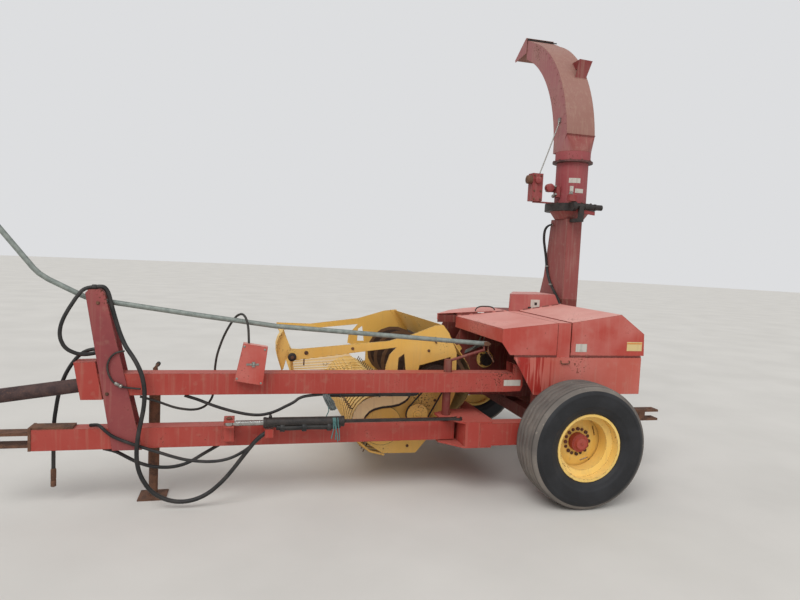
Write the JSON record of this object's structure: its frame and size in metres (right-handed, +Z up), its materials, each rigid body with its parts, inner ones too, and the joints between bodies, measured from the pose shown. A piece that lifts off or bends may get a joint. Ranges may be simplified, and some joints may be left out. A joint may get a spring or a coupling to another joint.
{
  "type": "pull-type forage harvester with pickup header",
  "caption": "Two-wheeled pull-type forage harvester: side tongue with driveline tunnel and parking jack, raised pickup header with auger, shielded cutter body and a tall curved spout.",
  "frame": {"origin": "on the ground, under the middle of the whole machine's bounding box", "axes": "+X rearward from the hitch, +Y to the machine's right, +Z up"},
  "size_m": [4.5928, 2.2936, 3.5758],
  "materials": {
    "body_paint": "faded red paint, matt",
    "dark_paint": "dark red paint, worn",
    "header_paint": "faded yellow paint, matt",
    "bare_iron": "rusty brown iron",
    "dark_iron": "greasy black iron",
    "zinc_tube": "dull galvanised",
    "rod_steel": "polished rod",
    "tyre_rubber": "weathered rubber",
    "rim_paint": "faded yellow paint",
    "hose_rubber": "dull black rubber hose",
    "hub_paint": "worn red paint"
  },
  "bodies": {
    "chassis": {"axle": "dark_paint", "frame_rails": "body_paint", "cross_front": "body_paint", "cross_rear": "dark_paint", "wagon_hitch": "bare_iron", "shield_posts": "dark_paint", "lower_shield": "body_paint", "hood_strap": "body_paint", "centre_hood": "body_paint", "feed_housing": "dark_paint", "cutter_housing": "dark_paint", "gearbox": "dark_paint", "blower": "dark_paint", "riser": "body_paint", "top_box": "body_paint", "spout_drive": "dark_iron", "tongue_pivot": "dark_paint"},
    "front_hood_lid": {"front_hood": "body_paint"},
    "rear_cover_lid": {"rear_cover": "body_paint"},
    "upper_roll": {"feed_roll_upper": "dark_iron"},
    "lower_roll": {"feed_roll_lower": "dark_iron"},
    "left_wheel": {"tyre_left": "tyre_rubber", "rim_left": "rim_paint", "hub_left": "hub_paint"},
    "right_wheel": {"tyre_right": "tyre_rubber", "rim_right": "rim_paint", "hub_right": "hub_paint"},
    "tongue": {"tongue_beam": "body_paint", "tunnel": "body_paint", "hose_post": "dark_paint", "hitch_clevis": "bare_iron", "jack": "bare_iron", "shaft_guard": "dark_paint", "control_box": "body_paint", "control_tube": "zinc_tube", "hose_lift": "hose_rubber", "hose_loop": "hose_rubber", "hose_spare": "hose_rubber", "hose_swing": "hose_rubber", "hose_under": "hose_rubber", "control_cable": "hose_rubber", "hose_header": "hose_rubber"},
    "drive_shaft": {"shaft_yoke": "dark_iron"},
    "swing_cylinder": {"swing_barrel": "dark_iron"},
    "swing_cylinder_rod": {"swing_rod": "rod_steel"},
    "header": {"header_plates": "header_paint", "header_trough": "header_paint", "pickup_bands": "header_paint"},
    "pulley": {"header_pulley": "bare_iron"},
    "auger_rotor": {"auger": "bare_iron"},
    "pickup_rotor": {"pickup_reel": "bare_iron"},
    "windguard_frame": {"windguard": "header_paint"},
    "spout": {"turntable": "dark_iron", "spout_tube": "body_paint", "spout_bend": "body_paint", "flap_actuator": "body_paint"},
    "deflector": {"spout_flap": "body_paint"}
  },
  "joints": [
    {"name": "left_wheel_roll", "type": "hinge", "parent": "chassis", "child": "left_wheel", "pos_m": [1.39139, -1.00579, 0.395], "axis": [0, 1, 0], "continuous": true},
    {"name": "right_wheel_roll", "type": "hinge", "parent": "chassis", "child": "right_wheel", "pos_m": [1.39139, 0.92421, 0.395], "axis": [0, 1, 0], "continuous": true},
    {"name": "tongue_swing", "type": "hinge", "parent": "chassis", "child": "tongue", "pos_m": [0.60139, -0.65479, 0.41], "axis": [0, 0, 1], "range_deg": [0, 18]},
    {"name": "swing_cylinder_turn", "type": "hinge", "parent": "chassis", "child": "swing_cylinder", "pos_m": [0.64139, -0.78979, 0.5093], "axis": [0, 0, 1], "range_deg": [-1, 19]},
    {"name": "swing_rod_slide", "type": "slide", "parent": "swing_cylinder", "child": "swing_cylinder_rod", "axis": [-1, 0, 0], "range_m": [-0.05, 0.002]},
    {"name": "header_lift", "type": "hinge", "parent": "chassis", "child": "header", "pos_m": [0.88639, 0.19421, 0.85], "axis": [0, 1, 0], "range_deg": [-5, 12]},
    {"name": "auger_turn", "type": "hinge", "parent": "header", "child": "auger_rotor", "pos_m": [0.58639, 0.26921, 0.685], "axis": [0, 1, 0], "continuous": true},
    {"name": "pickup_turn", "type": "hinge", "parent": "header", "child": "pickup_rotor", "pos_m": [0.20639, 0.26921, 0.4], "axis": [0, 1, 0], "continuous": true},
    {"name": "pulley_turn", "type": "hinge", "parent": "header", "child": "pulley", "pos_m": [0.44039, -0.54079, 0.475], "axis": [0, 1, 0], "continuous": true},
    {"name": "windguard_tilt", "type": "hinge", "parent": "header", "child": "windguard_frame", "pos_m": [-0.39861, 0.26921, 0.855], "axis": [0, 1, 0], "range_deg": [-35, 0]},
    {"name": "upper_roll_turn", "type": "hinge", "parent": "chassis", "child": "upper_roll", "pos_m": [1.10139, 0.19421, 0.768], "axis": [0, 1, 0], "continuous": true},
    {"name": "lower_roll_turn", "type": "hinge", "parent": "chassis", "child": "lower_roll", "pos_m": [1.10139, 0.19421, 0.585], "axis": [0, 1, 0], "continuous": true},
    {"name": "front_hood_hinge", "type": "hinge", "parent": "chassis", "child": "front_hood_lid", "pos_m": [1.06639, 0.03921, 1.1069], "axis": [0.9933, 0, 0.1158], "range_deg": [-80, 0]},
    {"name": "rear_cover_hinge", "type": "hinge", "parent": "chassis", "child": "rear_cover_lid", "pos_m": [1.59539, 0.03921, 1.169], "axis": [0.9864, 0, 0.1644], "range_deg": [-80, 0]},
    {"name": "spout_swivel", "type": "hinge", "parent": "chassis", "child": "spout", "pos_m": [1.86939, 0.17421, 1.98], "axis": [0, 0, 1], "range_deg": [-180, 20]},
    {"name": "deflector_tilt", "type": "hinge", "parent": "spout", "child": "deflector", "pos_m": [1.86939, 0.91723, 3.56083], "axis": [1, 0, 0], "range_deg": [-60, 20]},
    {"name": "drive_shaft_turn", "type": "hinge", "parent": "tongue", "child": "drive_shaft", "pos_m": [-1.58361, -0.65479, 0.712], "axis": [-0.9903, 0, -0.1392], "continuous": true}
  ],
  "couplings": [
    {"joint": "swing_cylinder_turn", "follows": "tongue_swing", "ratio": 0.987},
    {"joint": "swing_rod_slide", "follows": "tongue_swing", "m_per_rad": -0.139}
  ]
}
